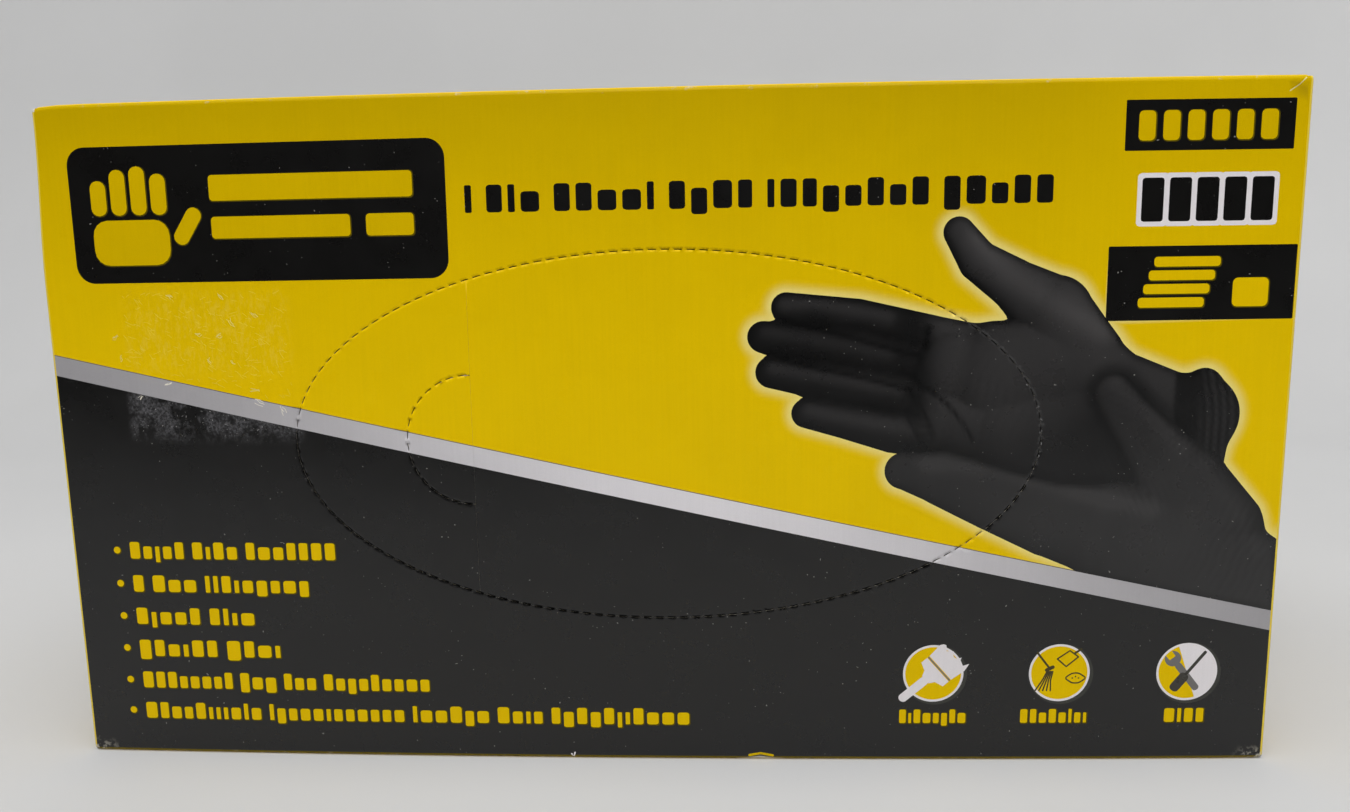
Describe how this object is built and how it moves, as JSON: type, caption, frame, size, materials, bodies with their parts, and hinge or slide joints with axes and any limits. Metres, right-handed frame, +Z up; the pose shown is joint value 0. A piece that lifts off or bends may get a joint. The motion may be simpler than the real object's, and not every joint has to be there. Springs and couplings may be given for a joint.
{
  "type": "disposable glove dispenser carton",
  "caption": "Tuck-end folding board carton standing on its long narrow side, with a perforated elliptical tear-out in its large face for drawing out the flat-packed disposable gloves inside.",
  "frame": {"origin": "centre of the carton's bottom face, on the surface it stands on, with the carton closed", "axes": "+Z up; X along the carton's length; the dispensing face looks towards -Y"},
  "size_m": [0.24, 0.07, 0.1315],
  "materials": {
    "yellow_printed_board": "satin",
    "black_printed_board": "satin",
    "seam_adhesive": "satin",
    "black_nitrile": "matte"
  },
  "bodies": {
    "carton": {"front_panel": "yellow_printed_board", "back_panel": "yellow_printed_board", "top_panel": "yellow_printed_board", "bottom_panel": "yellow_printed_board", "glue_flap": "yellow_printed_board", "seam_glue": "seam_adhesive", "glove_02": "black_nitrile", "glove_03": "black_nitrile", "glove_04": "black_nitrile", "glove_05": "black_nitrile", "glove_06": "black_nitrile", "glove_07": "black_nitrile", "glove_08": "black_nitrile", "glove_09": "black_nitrile", "glove_10": "black_nitrile", "gloves_11_to_20": "black_nitrile", "gloves_21_to_30": "black_nitrile", "gloves_31_to_40": "black_nitrile", "gloves_41_to_50": "black_nitrile"},
    "left_closure": {"left_closure": "yellow_printed_board"},
    "left_tuck_flap": {"left_tuck_flap": "yellow_printed_board"},
    "left_upper_dust_flap": {"left_upper_dust_flap": "yellow_printed_board"},
    "left_lower_dust_flap": {"left_lower_dust_flap": "yellow_printed_board"},
    "right_closure": {"right_closure": "yellow_printed_board"},
    "right_tuck_flap": {"right_tuck_flap": "yellow_printed_board"},
    "right_upper_dust_flap": {"right_upper_dust_flap": "yellow_printed_board"},
    "right_lower_dust_flap": {"right_lower_dust_flap": "yellow_printed_board"},
    "oval": {"tear_out_oval": "black_printed_board"},
    "pull_segment": {"pull_segment": "black_printed_board"},
    "thumb_tab": {"thumb_tab": "black_printed_board"},
    "first_glove": {"glove_01": "black_nitrile"}
  },
  "joints": [
    {"name": "left_closure_fold", "type": "hinge", "parent": "carton", "child": "left_closure", "pos_m": [-0.11975, -0.03475, 0.06575], "axis": [0, 0, 1], "range_deg": [0, 100]},
    {"name": "left_tuck_fold", "type": "hinge", "parent": "left_closure", "child": "left_tuck_flap", "pos_m": [-0.11975, 0.0336, 0.06575], "axis": [0, 0, 1], "range_deg": [0, 30]},
    {"name": "left_upper_dust_fold", "type": "hinge", "parent": "carton", "child": "left_upper_dust_flap", "pos_m": [-0.11915, 0, 0.13125], "axis": [0, 1, 0], "range_deg": [0, 80]},
    {"name": "left_lower_dust_fold", "type": "hinge", "parent": "carton", "child": "left_lower_dust_flap", "pos_m": [-0.11915, 0, 0.00025], "axis": [0, -1, 0], "range_deg": [0, 80]},
    {"name": "right_closure_fold", "type": "hinge", "parent": "carton", "child": "right_closure", "pos_m": [0.11975, -0.03475, 0.06575], "axis": [0, 0, -1], "range_deg": [0, 100]},
    {"name": "right_tuck_fold", "type": "hinge", "parent": "right_closure", "child": "right_tuck_flap", "pos_m": [0.11975, 0.0336, 0.06575], "axis": [0, 0, -1], "range_deg": [0, 30]},
    {"name": "right_upper_dust_fold", "type": "hinge", "parent": "carton", "child": "right_upper_dust_flap", "pos_m": [0.11915, 0, 0.13125], "axis": [0, -1, 0], "range_deg": [0, 80]},
    {"name": "right_lower_dust_fold", "type": "hinge", "parent": "carton", "child": "right_lower_dust_flap", "pos_m": [0.11915, 0, 0.00025], "axis": [0, 1, 0], "range_deg": [0, 80]},
    {"name": "oval_peel", "type": "hinge", "parent": "carton", "child": "oval", "pos_m": [0.0732, -0.035, 0.0662], "axis": [0, 0, 1], "range_deg": [0, 150]},
    {"name": "segment_fold", "type": "hinge", "parent": "oval", "child": "pull_segment", "pos_m": [-0.0358, -0.03475, 0.0662], "axis": [0, 0, 1], "range_deg": [0, 85]},
    {"name": "thumb_tab_fold", "type": "hinge", "parent": "oval", "child": "thumb_tab", "pos_m": [-0.0358, -0.03475, 0.0662], "axis": [0, 0, -1], "range_deg": [0, 70]},
    {"name": "first_glove_draw", "type": "slide", "parent": "carton", "child": "first_glove", "axis": [0, -1, 0], "range_m": [0, 0.0393]}
  ],
  "couplings": [
    {"joint": "left_tuck_fold", "follows": "left_closure_fold", "ratio": 0.3},
    {"joint": "left_upper_dust_fold", "follows": "left_closure_fold", "ratio": 0.8},
    {"joint": "left_lower_dust_fold", "follows": "left_closure_fold", "ratio": 0.8},
    {"joint": "right_tuck_fold", "follows": "right_closure_fold", "ratio": 0.3},
    {"joint": "right_upper_dust_fold", "follows": "right_closure_fold", "ratio": 0.8},
    {"joint": "right_lower_dust_fold", "follows": "right_closure_fold", "ratio": 0.8},
    {"joint": "first_glove_draw", "follows": "oval_peel", "m_per_rad": 0.015}
  ]
}
